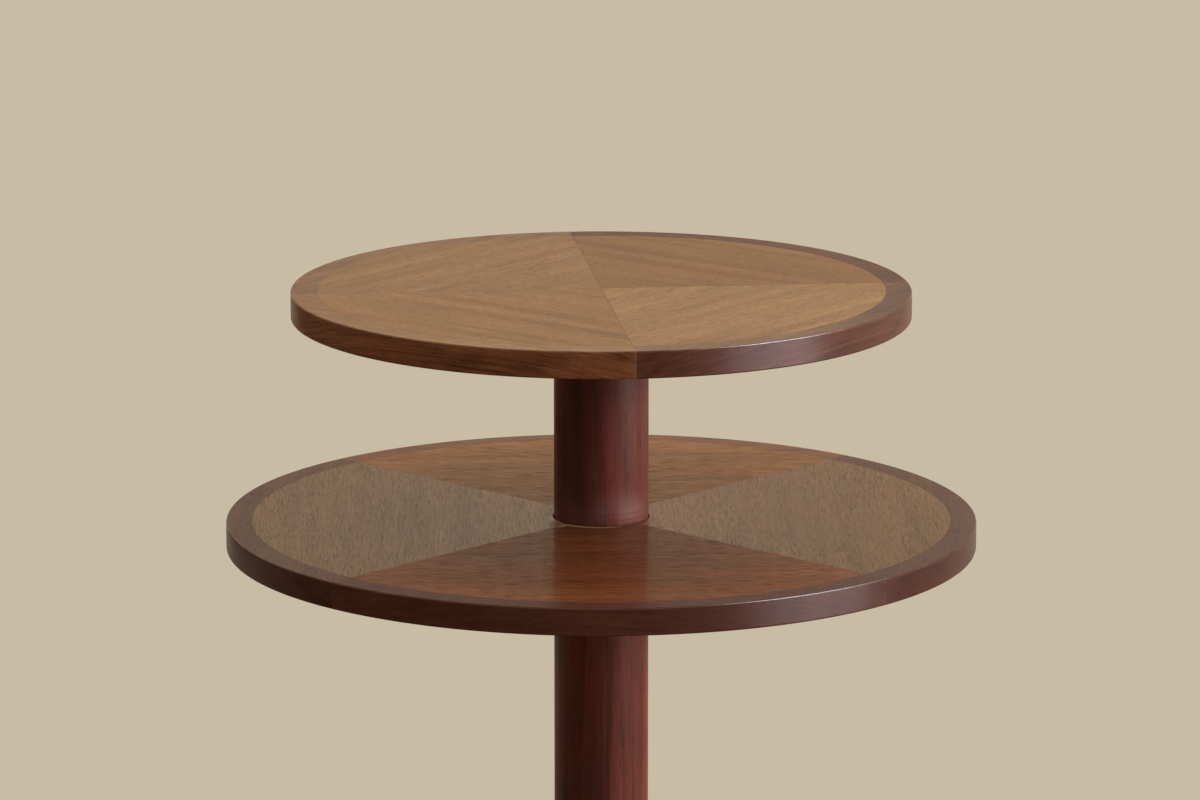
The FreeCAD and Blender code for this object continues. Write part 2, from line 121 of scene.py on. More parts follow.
def buildWorld():
    world = bpy.data.worlds.new("studio")
    world.use_nodes = True
    scene.world = world
    tree = world.node_tree
    tree.nodes.clear()
    tint, strength = studio["ambient"]
    soft = {"Color": linearOf(tint), "Strength": strength}
    ambient = addNode(tree, "ShaderNodeBackground", inputs=soft)
    paper = addNode(tree, "ShaderNodeBackground", inputs={"Color": linearOf(studio["paper"])})
    mix = addNode(tree, "ShaderNodeMixShader", inputs={0: seenShare(tree, True), 1: ambient, 2: paper})
    addNode(tree, "ShaderNodeOutputWorld", inputs={"Surface": mix})


floorLook = {
    "radius": 45.0, "sides": 96, "tones": ("9a9592", "a09b98"), "speckle": 40 * mm, "bounce": "8c7456",
    "roughness": 0.9, "gloss": 0.1, "brightBehind": (0.2, 1.2), "shadow": (0.36, 0.68), "underBase": 0.236,
}


# Painted floor: matt, takes the shadow close by and fades to plain cream further off
def buildFloor():
    floorPaint, tree = newMaterial("mattFloorPaint")
    where = addNode(tree, "ShaderNodeTexCoord").outputs["Object"]
    scale = 1 / floorLook["speckle"]
    speckle = addNode(tree, "ShaderNodeTexNoise", inputs={"Vector": where, "Scale": scale})
    dark, light = floorLook["tones"]
    tone = addNode(tree, "ShaderNodeMix", inColour, {0: speckle, 6: linearOf(dark), 7: linearOf(light)})
    # the room is bright behind the table only, so reflections of the floor in front stay dark
    apart = addNode(tree, "ShaderNodeSeparateXYZ", inputs={0: where})
    behind = addNode(tree, "ShaderNodeMapRange", softly,
                     {"Value": apart.outputs["Y"], **between(floorLook["brightBehind"])})
    path = addNode(tree, "ShaderNodeLightPath")
    mirrored = addNode(tree, "ShaderNodeMath", times, {0: behind, 1: path.outputs["Is Glossy Ray"]})
    shown = addNode(tree, "ShaderNodeMath", larger, {0: seenShare(tree, False), 1: mirrored})
    paint = addNode(tree, "ShaderNodeMix", inColour,
                    {0: shown, 6: linearOf(floorLook["bounce"]), 7: tone})
    matt = addNode(tree, "ShaderNodeBsdfPrincipled", inputs={
        "Base Color": paint, "Roughness": floorLook["roughness"], "Specular IOR Level": floorLook["gloss"]})
    distance = addNode(tree, "ShaderNodeVectorMath", {"operation": "LENGTH"}, {0: where})
    far = addNode(tree, "ShaderNodeMapRange", softly,
                  {"Value": distance, **between(floorLook["shadow"])})
    share = addNode(tree, "ShaderNodeMath", times, {0: far, 1: shown})
    glow = addNode(tree, "ShaderNodeEmission", inputs={"Color": linearOf(studio["paper"])})
    mix = addNode(tree, "ShaderNodeMixShader", inputs={0: share, 1: matt, 2: glow})
    # seen from below the floor isn't there, and under the base it lets soft light up to the underside
    facing = addNode(tree, "ShaderNodeNewGeometry")
    clear = addNode(tree, "ShaderNodeBsdfTransparent")
    under = addNode(tree, "ShaderNodeMath", {"operation": "LESS_THAN"},
                    {0: distance, 1: floorLook["underBase"]})
    lightOnly = addNode(tree, "ShaderNodeMath", {"operation": "SUBTRACT", "use_clamp": True},
                        {0: under, 1: path.outputs["Is Camera Ray"]})
    opened = addNode(tree, "ShaderNodeMath", larger, {0: facing.outputs["Backfacing"], 1: lightOnly})
    oneSided = addNode(tree, "ShaderNodeMixShader", inputs={0: opened, 1: mix, 2: clear})
    addNode(tree, "ShaderNodeOutputMaterial", inputs={"Surface": oneSided})
    shape = bmesh.new()
    bmesh.ops.create_circle(shape, cap_ends=True, radius=floorLook["radius"], segments=floorLook["sides"])
    mesh = bpy.data.meshes.new("floor")
    shape.to_mesh(mesh)
    shape.free()
    mesh.materials.append(floorPaint)
    floor = bpy.data.objects.new("floor", mesh)
    scene.collection.objects.link(floor)


card = {
    "radius": 2.0, "levels": (0.002, 0.72), "from": 118.0, "to": 305.0, "steps": 40,
    "tones": ("4e3a28", "58432f"), "nap": 8 * mm,
}


# Dark felt card: a low curved strip, seen only by the wood's reflections and soft light
def buildCard():
    cardFelt, tree = newMaterial("darkFelt")
    where = addNode(tree, "ShaderNodeTexCoord").outputs["Object"]
    nap = addNode(tree, "ShaderNodeTexNoise", inputs={"Vector": where, "Scale": 1 / card["nap"]})
    dark, light = card["tones"]
    tone = addNode(tree, "ShaderNodeMix", inColour, {0: nap, 6: linearOf(dark), 7: linearOf(light)})
    felt = addNode(tree, "ShaderNodeBsdfPrincipled", inputs={
        "Base Color": tone, "Roughness": 1.0, "Specular IOR Level": 0.0})
    addNode(tree, "ShaderNodeOutputMaterial", inputs={"Surface": felt})
    places, faces = [], []
    for step in range(card["steps"] + 1):
        turn = math.radians(card["from"] + (card["to"] - card["from"]) * step / card["steps"])
        for level in card["levels"]:
            places.append((card["radius"] * math.cos(turn), card["radius"] * math.sin(turn), level))
        if step:
            faces.append((2 * step - 2, 2 * step, 2 * step + 1, 2 * step - 1))
    mesh = bpy.data.meshes.new("darkCard")
    mesh.from_pydata(places, [], faces)
    mesh.materials.append(cardFelt)
    darkCard = bpy.data.objects.new("darkCard", mesh)
    darkCard.visible_camera = False
    darkCard.visible_shadow = False
    scene.collection.objects.link(darkCard)


# keyShine and arrisStrip only draw the shine on the rims and the bright line along their arris
rimGroup = bpy.data.collections.new("rims")
lamps = {
    "keyRight": {"place": (1.83, -1.03, 0.98), "aim": (0.0, 0.0, 0.55), "size": (1.2, 2.2),
                 "watts": 33, "tint": "fff2ee"},
    "keyShine": {"place": (1.25, -0.93, 0.33), "aim": (0.17, -0.32, 0.33), "size": (1.0, 0.6),
                 "watts": 10.5, "tint": "f4f4ff", "lit": False, "only": rimGroup},
    "arrisStrip": {"place": (1.39, -0.25, 2.35), "aim": (0.0, 0.0, 0.6), "size": (1.4, 1.0),
                   "watts": 240, "tint": "e6ecff", "lit": False, "only": rimGroup},
    "sideSoft": {"place": (2.3, 0.16, 1.1), "aim": (0.0, 0.0, 0.55), "size": (1.8, 1.8),
                 "watts": 11, "tint": "fff4ea"},
    "topSoft": {"place": (-0.1, 0.0, 3.0), "aim": (0.0, 0.0, 0.5), "size": (3.2, 3.2),
                "watts": 35.5, "tint": "fff6ea", "shine": False},
    "backSoft": {"place": (0.35, 1.9, 1.0), "aim": (0.0, 0.0, 0.6), "size": (3.4, 1.6),
                 "watts": 58, "tint": "fff0da", "shine": False},
}


def hangLamps():
    for name, lamp in lamps.items():
        data = bpy.data.lights.new(name, "AREA")
        data.shape = "RECTANGLE"
        data.size, data.size_y = lamp["size"]
        data.energy = lamp["watts"]
        data.color = linearOf(lamp["tint"])[:3]
        holder = bpy.data.objects.new(name, data)
        holder.location = lamp["place"]
        towards = Vector(lamp["aim"]) - Vector(lamp["place"])
        holder.rotation_euler = towards.to_track_quat("-Z", "Y").to_euler()
        holder.visible_camera = False
        holder.visible_glossy = lamp.get("shine", True)
        holder.visible_diffuse = lamp.get("lit", True)
        if "only" in lamp:
            holder.light_linking.receiver_collection = lamp["only"]
        scene.collection.objects.link(holder)


buildWorld()
buildFloor()
buildCard()
hangLamps()
print("studio ready")


# Distance from the table's axis
def axisReach(tree, where):
    flat = addNode(tree, "ShaderNodeVectorMath", times, {0: where, 1: (1.0, 1.0, 0.0)})
    return addNode(tree, "ShaderNodeVectorMath", {"operation": "LENGTH"}, {0: flat})


# Shared by all woods: the part of each noise that counts, and the polish's own numbers
woodBasis = {
    "noiseRoughness": 0.6, "hueRange": (0.45, 0.7), "rubAndGlintRange": (0.3, 0.55), "fibreRange": (0.25, 0.75),
    "poreRoughness": 0.3, "bumpStrength": 0.5, "ior": 1.5, "coatRoughness": 0.24, "glossTurn": 0.25,
}


# Wood under a thin satin polish: broken ribbon stripes, long fibres, dark open pores in short dashes,
# greyer and redder patches. Reflections spread across the fibres and stay sharper along them.
def makeWood(name, look):
    material, tree = newMaterial(name)
    if look.get("cutFromBlock"):
        grain = addNode(tree, "ShaderNodeTexCoord").outputs["Object"]
    else:
        grain = addNode(tree, "ShaderNodeAttribute", {"attribute_name": "grain"}).outputs["Vector"]
    tone, edge, aged = [addNode(tree, "ShaderNodeAttribute", {"attribute_name": label}).outputs["Fac"]
                        for label in ("tone", "edge", "aged")]
    patterns = {}
    for label, (length, width, detail, wander) in look["sizes"].items():
        # growth layers are sheets, everything else is long fibres
        sheet = look.get("sheet", 1.0) if label in ("ribbon", "fibre") else 1.0
        stretched = addNode(tree, "ShaderNodeMapping", inputs={
            "Vector": grain,
            "Scale": (1 / (length * mm), 1 / (width * sheet * mm), 1 / (width * mm))})
        patterns[label] = addNode(tree, "ShaderNodeTexNoise", inputs={
            "Vector": stretched, "Scale": 1.0, "Detail": detail,
            "Roughness": woodBasis["noiseRoughness"], "Distortion": wander})
    # open pores and broader flecks, each softly cut from its own noise
    marks = []
    for label, (low, high, weight) in look["marks"].items():
        marks.append(addNode(tree, "ShaderNodeMapRange", softly, {
            "Value": patterns[label], "From Min": low, "From Max": high, "To Max": weight}))
    poreMark = addNode(tree, "ShaderNodeMath", larger, {0: marks[0], 1: marks[1]})
    # each noise swings the figure about its middle by its own weight, cloud last
    figure = 0.5
    for label, weight in look["weights"].items():
        swing = addNode(tree, "ShaderNodeMath", {"operation": "MULTIPLY_ADD"},
                        {0: patterns[label], 1: weight, 2: -0.5 * weight})
        figure = addNode(tree, "ShaderNodeMath", {"operation": "ADD", "use_clamp": label == "cloud"},
                         {0: figure, 1: swing})
    shades = []
    for dark, light in look["palettes"]:
        shades.append(addNode(tree, "ShaderNodeMix", inColour, {
            0: figure, 6: linearOf(dark), 7: linearOf(light)}))
    # the tone between the palettes is the wood's own, and on veneer leaves partly painted sheen
    shade = addNode(tree, "ShaderNodeMix", inColour, {0: tone, 6: shades[0], 7: shades[-1]})
    for label, colour, weight in look["hues"]:
        share = addNode(tree, "ShaderNodeMapRange", inputs={
            "Value": patterns[label], **between(woodBasis["hueRange"]), "To Max": weight})
        shade = addNode(tree, "ShaderNodeMix", inColour, {0: share, 6: shade, 7: linearOf(colour)})
    # real glue lines on the rims, and painted light and shade: a painted sheen on the rims' tops, painted
    # shade
    # on the outer left and right lower leaves and on the column under the boards, painted light on its lit
    # side
    if "glueAndPaintedLightColours" in look:
        dark, light = look["glueAndPaintedLightColours"]
        glueAndPaintedLightWood = addNode(tree, "ShaderNodeMix", inColour, {
            0: figure, 6: linearOf(dark), 7: linearOf(light)})
        # painted shade, growing outwards from the axis
        if "paintedShadeReach" in look:
            *span, least = look["paintedShadeReach"]
            reach = axisReach(tree, addNode(tree, "ShaderNodeTexCoord").outputs["Object"])
            outwards = addNode(tree, "ShaderNodeMapRange", inputs={
                "Value": reach, **between(span), "To Min": least})
            aged = addNode(tree, "ShaderNodeMath", times, {0: aged, 1: outwards})
        shade = addNode(tree, "ShaderNodeMix", inColour, {0: aged, 6: shade, 7: glueAndPaintedLightWood})
    shade = addNode(tree, "ShaderNodeMix", inColour,
                    {0: poreMark, 6: shade, 7: linearOf(look["poreColour"])})
    # handling has rubbed the arrises lighter, in places; at the hole's edge and on the column's band the
    # pale colour is also a painted highlight
    if "rub" in look:
        colour, weight = look["rub"]
        rub = addNode(tree, "ShaderNodeMapRange", inputs={
            "Value": patterns["cloud"], **between(woodBasis["rubAndGlintRange"]), "To Max": weight})
        rubAndGlintShare = addNode(tree, "ShaderNodeMath", times, {0: rub, 1: edge})
        shade = addNode(tree, "ShaderNodeMix", inColour, {0: rubAndGlintShare, 6: shade, 7: linearOf(colour)})
    least, most = look["roughness"]
    roughness = addNode(tree, "ShaderNodeMapRange", inputs={
        "Value": patterns["fibre"], **between(woodBasis["fibreRange"]), "To Min": least, "To Max": most})
    poreRough = addNode(tree, "ShaderNodeMath", timesPlus,
                        {0: poreMark, 1: woodBasis["poreRoughness"], 2: roughness})
    # and has polished them
    smoothed = addNode(tree, "ShaderNodeMath", timesPlus,
                       {0: edge, 1: look.get("edgePolish", 0.0), 2: poreRough})
    height = addNode(tree, "ShaderNodeMath", {"operation": "MULTIPLY_ADD"},
                     {0: poreMark, 1: -1.0, 2: patterns["fibre"]})
    bump = addNode(tree, "ShaderNodeBump", inputs={
        "Height": height, "Distance": look["relief"] * mm, "Strength": woodBasis["bumpStrength"]})
    polished = addNode(tree, "ShaderNodeBsdfPrincipled", inputs={
        "Base Color": shade, "Roughness": smoothed, "Normal": bump, "IOR": woodBasis["ior"],
        "Specular IOR Level": look["polish"], "Anisotropic": look.get("fibreGloss", 0.0),
        "Anisotropic Rotation": woodBasis["glossTurn"],
        "Coat Weight": look.get("coat", 0.0), "Coat Roughness": woodBasis["coatRoughness"]})
    if "fibreGloss" in look:
        tangent = addNode(tree, "ShaderNodeTangent", {"direction_type": "UV_MAP", "uv_map": "grainUv"})
        tree.links.new(tangent.outputs["Tangent"], polished.inputs["Tangent"])
    addNode(tree, "ShaderNodeOutputMaterial", inputs={"Surface": polished})
    return material


# Sizes in millimetres: length along the grain, width across it, then noise detail and wander.
# Real pores are about 0.2 mm wide, and are drawn coarser so that they show.
upperSizes = {"ribbon": (420, 16, 3.0, 0.1), "fibre": (110, 1.6, 3.0, 0.1), "cloud": (150, 60, 1.0, 0.0),
              "pore": (9, 0.7, 2.0, 0.06), "fleck": (26, 1.1, 2.0, 0.06), "patch": (70, 26, 1.0, 0.4)}
lowerSizes = {"ribbon": (520, 18, 3.0, 0.03), "fibre": (150, 1.4, 3.0, 0.05), "cloud": (150, 60, 1.0, 0.0),
              "pore": (20, 0.45, 2.0, 0.04), "fleck": (32, 0.9, 1.5, 0.04), "patch": (90, 30, 1.0, 0.4)}
solidSizes = {"ribbon": (400, 15, 2.0, 0.6), "fibre": (90, 1.8, 3.0, 0.2), "cloud": (110, 40, 1.0, 0.0),
              "pore": (16, 1.4, 2.0, 0.4), "fleck": (36, 3.6, 2.0, 0.4), "patch": (60, 20, 1.0, 0.6)}
rimSizes = {"ribbon": (300, 3.4, 2.0, 0.5), "fibre": (140, 1.0, 3.0, 0.2), "cloud": (80, 26, 1.0, 0.0),
            "pore": (18, 1.0, 2.0, 0.3), "fleck": (40, 2.2, 2.0, 0.3), "patch": (50, 18, 1.0, 0.6)}

# Leaves of the upper tier: mahogany veneer, bleached golden brown
upperVeneer = makeWood("mahoganyVeneerUpper", {
    "sizes": upperSizes, "palettes": (("6b4830", "93704a"), ("795735", "af895a")),
    "weights": {"ribbon": 1.4, "fibre": 1.1, "fleck": 0.3, "cloud": 0.3},
    "hues": (("patch", "6e5438", 0.25), ("cloud", "86583a", 0.25)), "poreColour": "42291a",
    "marks": {"pore": (0.47, 0.67, 0.5), "fleck": (0.5, 0.76, 0.2)},
    "roughness": (0.33, 0.45), "relief": 0.015, "polish": 0.35, "fibreGloss": 0.7})
# Leaves of the lower tier and the base: mahogany veneer, glossier, worn pale at the hole with a painted
# highlight;
# painted shade darkens the outer part of the left and right leaves of the lower tier
lowerVeneer = makeWood("mahoganyVeneerLower", {
    "sizes": lowerSizes, "palettes": (("855a34", "b27c4d"), ("6e3b24", "995a3c")),
    "weights": {"ribbon": 1.8, "fibre": 1.3, "fleck": 0.3, "cloud": 0.3},
    "glueAndPaintedLightColours": ("58340d", "7b4d18"), "paintedShadeReach": (50 * mm, 340 * mm, 0.25),
    "hues": (("patch", "6c5429", 0.2), ("cloud", "7e4c28", 0.2)), "poreColour": "3a220c",
    "marks": {"pore": (0.5, 0.63, 0.85), "fleck": (0.57, 0.68, 0.7)}, "rub": ("e4c49a", 0.95),
    "roughness": (0.19, 0.31), "relief": 0.01, "polish": 0.222, "fibreGloss": 0.8})
# Rims: solid mahogany, darker and redder than the leaves, with pale glue lines and a painted sheen on their
# tops
rimWood = {
    "sizes": rimSizes, "sheet": 10.0, "marks": {"pore": (0.5, 0.7, 0.4), "fleck": (0.52, 0.76, 0.25)},
    "edgePolish": -0.22, "roughness": (0.34, 0.46), "relief": 0.03, "fibreGloss": 0.25,
}
upperRim = makeWood("mahoganyRimUpper", {
    **rimWood, "palettes": (("3a1e14", "5a3529"), ("532e1d", "a06a46")),
    "glueAndPaintedLightColours": ("7f6241", "9b7a53"), "weights": {"ribbon": 1.5, "fibre": 1.1, "cloud": 0.8},
    "hues": (("patch", "4a2a26", 0.15), ("cloud", "7a3c26", 0.12)), "poreColour": "25110c",
    "rub": ("7e4c30", 0.15), "polish": 0.12, "coat": 0.16})
lowerRim = makeWood("mahoganyRimLower", {
    **rimWood, "palettes": (("341a16", "4f2c28"), ("663e29", "86583c")),
    "glueAndPaintedLightColours": ("5e4028", "7c5838"), "weights": {"ribbon": 1.4, "fibre": 1.1, "cloud": 0.8},
    "hues": (("patch", "402420", 0.2), ("cloud", "5c3022", 0.15)), "poreColour": "1e0d09",
    "rub": ("74422c", 0.15), "polish": 0.1, "coat": 0.18})
# Column: one turned piece of dark red mahogany; painted light on one side, painted shadow under the boards
# and a painted highlight on the band that use has rubbed above the lower tier
columnWood = makeWood("mahoganyTurned", {
    "sizes": solidSizes, "palettes": (("2a120d", "6e3027"), ("341610", "783a2e")),
    "glueAndPaintedLightColours": ("4a211b", "9a4e42"), "weights": {"ribbon": 1.5, "fibre": 1.0, "cloud": 0.7},
    "hues": (("patch", "4e2620", 0.3), ("cloud", "8a4431", 0.3)), "poreColour": "25110c",
    "marks": {"pore": (0.5, 0.72, 0.4), "fleck": (0.55, 0.78, 0.25)},
    "rub": ("b08a84", 0.9), "edgePolish": -0.22,
    "roughness": (0.44, 0.58), "relief": 0.03, "polish": 0.4, "fibreGloss": 0.3, "coat": 0.04})
# Plainer timber, its grain cut straight from the block
plainWood = {
    "cutFromBlock": True, "sizes": solidSizes, "weights": {"ribbon": 1.2, "fibre": 1.0, "cloud": 0.7},
    "marks": {"pore": (0.5, 0.72, 0.35), "fleck": (0.55, 0.78, 0.25)}, "relief": 0.05, "polish": 0.35,
}
# Boss, hub and collar: beech stained to go with the mahogany
blockWood = makeWood("stainedBeech", {
    **plainWood, "palettes": (("4a2a1c", "704630"),), "poreColour": "2c160e", "roughness": (0.45, 0.6),
    "hues": (("patch", "54301f", 0.3), ("cloud", "764a34", 0.3))})
# Feet: beech stained darker
footWood = makeWood("darkStainedBeech", {
    **plainWood, "palettes": (("301a12", "4c2c1e"),), "poreColour": "1c0e08", "roughness": (0.42, 0.58),
    "hues": (("patch", "382014", 0.3), ("cloud", "54321f", 0.3))})
# Counter veneers: plain mahogany, duller
backingVeneer = makeWood("plainMahoganyBacking", {
    **plainWood, "sizes": lowerSizes, "palettes": (("6a402a", "8c5c3e"),), "poreColour": "3a2014",
    "weights": {"ribbon": 1.2, "fibre": 1.1, "cloud": 0.6},
    "hues": (("patch", "74503a", 0.3), ("cloud", "8a5234", 0.3)),
    "marks": {"pore": (0.46, 0.68, 0.6), "fleck": (0.5, 0.74, 0.4)},
    "roughness": (0.5, 0.65), "relief": 0.06, "polish": 0.3})
# Cores: pale bare lime
coreBoard = makeWood("limeCoreBoard", {
    **plainWood, "palettes": (("a98a60", "c9ab7e"),), "poreColour": "8a6c46",
    "weights": {"ribbon": 1.0, "fibre": 0.9, "cloud": 0.6},
    "hues": (("patch", "b59a70", 0.3), ("cloud", "c2a070", 0.3)),
    "marks": {"pore": (0.5, 0.72, 0.3), "fleck": (0.55, 0.78, 0.2)},
    "roughness": (0.6, 0.75), "relief": 0.06, "polish": 0.25})
print("woods mixed")


# Shared by all metals
metalBasis = {
    "ringNoise": {"Detail": 3.0, "Roughness": 0.6}, "ringDepth": 0.02 * mm, "ringStrength": 0.4,
    "spotNoise": {"Detail": 4.0, "Roughness": 0.65}, "dullRange": (0.48, 0.72), "dullRoughness": 0.2,
}


# Plain metal off a lathe: fine rings in the finish, a few duller spots
def makeMetal(name, look):
    material, tree = newMaterial(name)
    where = addNode(tree, "ShaderNodeTexCoord").outputs["Object"]
    level = addNode(tree, "ShaderNodeSeparateXYZ", inputs={0: where})
    reach = axisReach(tree, where)
    lathe = addNode(tree, "ShaderNodeCombineXYZ", inputs={"X": reach, "Y": level.outputs["Z"]})
    rings = addNode(tree, "ShaderNodeTexNoise", inputs={
        "Vector": lathe, "Scale": 1 / (look["ring"] * mm), **metalBasis["ringNoise"]})
    spots = addNode(tree, "ShaderNodeTexNoise", inputs={
        "Vector": where, "Scale": 1 / (look["spot"] * mm), **metalBasis["spotNoise"]})
    dull = addNode(tree, "ShaderNodeMapRange", softly, {"Value": spots, **between(metalBasis["dullRange"])})
    dark, light, dullColour = [linearOf(colour) for colour in look["colours"]]
    bright = addNode(tree, "ShaderNodeMix", inColour, {0: rings, 6: dark, 7: light})
    shade = addNode(tree, "ShaderNodeMix", inColour, {0: dull, 6: bright, 7: dullColour})
    least, most = look["roughness"]
    finish = addNode(tree, "ShaderNodeMapRange", inputs={"Value": rings, "To Min": least, "To Max": most})
    dulled = addNode(tree, "ShaderNodeMath", timesPlus,
                     {0: dull, 1: metalBasis["dullRoughness"], 2: finish})
    bump = addNode(tree, "ShaderNodeBump", inputs={
        "Height": rings, "Distance": metalBasis["ringDepth"], "Strength": metalBasis["ringStrength"]})
    metal = addNode(tree, "ShaderNodeBsdfPrincipled", inputs={
        "Base Color": shade, "Roughness": dulled, "Normal": bump, "Metallic": 1.0})
    addNode(tree, "ShaderNodeOutputMaterial", inputs={"Surface": metal})
    return material


# Thrust ring: turned brass
brass = makeMetal("turnedBrass", {
    "ring": 0.6, "spot": 9, "colours": ("a8823e", "c29a52", "7c6030"), "roughness": (0.24, 0.4)})
# Plates, washer, rod and nut: mild steel
steel = makeMetal("mildSteel", {
    "ring": 0.7, "spot": 7, "colours": ("7a7874", "989692", "5c544c"), "roughness": (0.34, 0.5)})
# Screws: darker steel with smaller spots
screwSteel = makeMetal("screwSteel", {
    "ring": 0.8, "spot": 3, "colours": ("6e6c68", "8e8c86", "544c42"), "roughness": (0.32, 0.48)})
print("metals mixed")

dressing = {
    "upper_core": coreBoard, "lower_core": coreBoard, "base_core": coreBoard,
    "upper_counter_veneer": backingVeneer, "lower_counter_veneer": backingVeneer,
    "base_counter_veneer": backingVeneer,
    "upper_boss": blockWood, "lower_hub": blockWood, "support_collar": blockWood,
    "foot_right": footWood, "foot_back": footWood, "foot_left": footWood, "foot_front": footWood,
    "thrust_ring": brass, "upper_clamp_plate": steel, "base_clamp_plate": steel, "rod_washer": steel,
}
for solid, finish in dressing.items():
    for place in nodes[solid].material_slots:
        place.material = finish
print("kept solids dressed:", len(dressing))


# Wood axes: x with the grain, y across it, z through the board; kept in metres on the mesh.
# edge says how far a place is rubbed, partly a painted highlight; the last share says how far glue lines
# and painted light and shade change its colour.
def layGrain(mesh, along, across, offset, tone, edge, aged):
    along, across, offset = Vector(along), Vector(across), Vector(offset)
    axes = (along, across, along.cross(across))
    places = [Vector([vertex.co.dot(axis) for axis in axes]) for vertex in mesh.vertices]
    grain = mesh.attributes.new("grain", "FLOAT_VECTOR", "POINT")
    grain.data.foreach_set("vector", [number for place in places for number in place + offset])
    for label, share in (("tone", lambda place: tone), ("edge", edge), ("aged", aged)):
        shareLayer = mesh.attributes.new(label, "FLOAT", "POINT")
        shareLayer.data.foreach_set("value", [share(vertex.co) for vertex in mesh.vertices])
    layer = mesh.uv_layers.new(name="grainUv")
    for face in mesh.polygons:
        facing = [abs(face.normal.dot(axis)) for axis in axes]
        first, second = ((1, 2), (0, 2), (0, 1))[facing.index(max(facing))]
        for corner in face.loop_indices:
            place = places[mesh.loops[corner].vertex_index]
            layer.data[corner].uv = (place[first], place[second])


def smoothOver(mesh):
    mesh.shade_smooth()
    mesh.set_sharp_from_angle(angle=sharpFrom)


# Welds a mesh, turns its faces outwards and cuts it along any upright planes asked for
def closeUp(mesh, cuts=()):
    shape = bmesh.new()
    shape.from_mesh(mesh)
    bmesh.ops.remove_doubles(shape, verts=shape.verts, dist=weld)
    bmesh.ops.recalc_face_normals(shape, faces=shape.faces)
    for turn in cuts:
        bmesh.ops.bisect_plane(shape, geom=shape.verts[:] + shape.edges[:] + shape.faces[:],
                               plane_co=(0.0, 0.0, 0.0), plane_no=(-math.sin(turn), math.cos(turn), 0.0))
    shape.to_mesh(mesh)
    shape.free()
    smoothOver(mesh)


def meshFrom(shape, name, material):
    bmesh.ops.recalc_face_normals(shape, faces=shape.faces)
    mesh = bpy.data.meshes.new(name)
    shape.to_mesh(mesh)
    shape.free()
    mesh.materials.append(material)
    smoothOver(mesh)
    return mesh


def addPiece(name, mesh, body, slot, *solids):
    piece = bpy.data.objects.new(name, mesh)
    scene.collection.objects.link(piece)
    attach(piece, body)
    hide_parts(*solids)
    return piece


def newTree(name, inputs):
    tree = bpy.data.node_groups.new(name, "GeometryNodeTree")
    tree.interface.new_socket("Geometry", in_out="INPUT", socket_type="NodeSocketGeometry")
    tree.interface.new_socket("Geometry", in_out="OUTPUT", socket_type="NodeSocketGeometry")
    sockets = {}
    for label, kind in inputs.items():
        sockets[label] = tree.interface.new_socket(label, in_out="INPUT", socket_type=kind).identifier
    return tree, sockets


# Ends a tree: copies become one mesh in the material that was handed in
def endTree(tree, given, geometry):
    solid = addNode(tree, "GeometryNodeRealizeInstances", inputs={"Geometry": geometry})
    dressed = addNode(tree, "GeometryNodeSetMaterial",
                      inputs={"Geometry": solid, "Material": given.outputs["Material"]})
    addNode(tree, "NodeGroupOutput", inputs={"Geometry": dressed})


def runTree(tree, sockets, source, values):
    maker = bpy.data.objects.new("maker", source)
    scene.collection.objects.link(maker)
    modifier = maker.modifiers.new("shape", "NODES")
    modifier.node_group = tree
    for label, value in values.items():
        modifier[sockets[label]] = value
    graph = bpy.context.evaluated_depsgraph_get()
    shaped = maker.evaluated_get(graph)
    mesh = bpy.data.meshes.new_from_object(shaped, preserve_all_data_layers=True, depsgraph=graph)
    maker.modifiers.remove(modifier)
    bpy.data.objects.remove(maker)
    return mesh


def outlineMesh(name, points):
    mesh = bpy.data.meshes.new(name)
    count = len(points)
    edges = [(step, (step + 1) % count) for step in range(count)]
    mesh.from_pydata([(x, y, 0.0) for x, y in points], edges, [])
    return mesh


# A rim segment is one profile swept along a quarter of the table's edge
def buildRimTree():
    tree, sockets = newTree("rimSweep", {
        "Radius": "NodeSocketFloat", "Start": "NodeSocketFloat", "Sweep": "NodeSocketFloat",
        "Level": "NodeSocketFloat", "Steps": "NodeSocketInt", "Material": "NodeSocketMaterial"})
    given = addNode(tree, "NodeGroupInput")
    profile = addNode(tree, "GeometryNodeMeshToCurve", inputs={"Mesh": given.outputs["Geometry"]})
    arc = addNode(tree, "GeometryNodeCurveArc", {"mode": "RADIUS"}, {
        "Resolution": given.outputs["Steps"], "Radius": given.outputs["Radius"],
        "Start Angle": given.outputs["Start"], "Sweep Angle": given.outputs["Sweep"]})
    upright = addNode(tree, "GeometryNodeSetCurveNormal", {"mode": "Z_UP"}, {"Curve": arc})
    swept = addNode(tree, "GeometryNodeCurveToMesh", inputs={
        "Curve": upright, "Profile Curve": profile, "Fill Caps": True})
    lift = addNode(tree, "ShaderNodeCombineXYZ", inputs={"Z": given.outputs["Level"]})
    placed = addNode(tree, "GeometryNodeSetPosition", inputs={"Geometry": swept, "Offset": lift})
    endTree(tree, given, placed)
    return tree, sockets


rimTree, rimSockets = buildRimTree()
rim = {
    "width": 25 * mm, "arris": 1.5 * mm, "arrisSteps": 6, "arrisReach": 0.95, "support": 0.4 * mm,
    "easing": 0.1 * mm, "tongueDepth": 8 * mm, "tongueHeight": 6 * mm, "steps": 72,
    "hairline": 0.15 * mm, "glueLine": 0.4 * mm, "glueFade": 0.25 * mm, "topSkin": 0.2 * mm,
    "slopes": {"upper": 0.05, "lower": -0.04, "base": 0.03}, "lean": math.radians(-22),
    # the painted sheen on the rims' tops: the turn it is strongest at, and the cosines where it starts and
    # is full
    "paledFront": math.radians(262), "sheenFrom": 0.4, "sheenTo": 0.8,
}


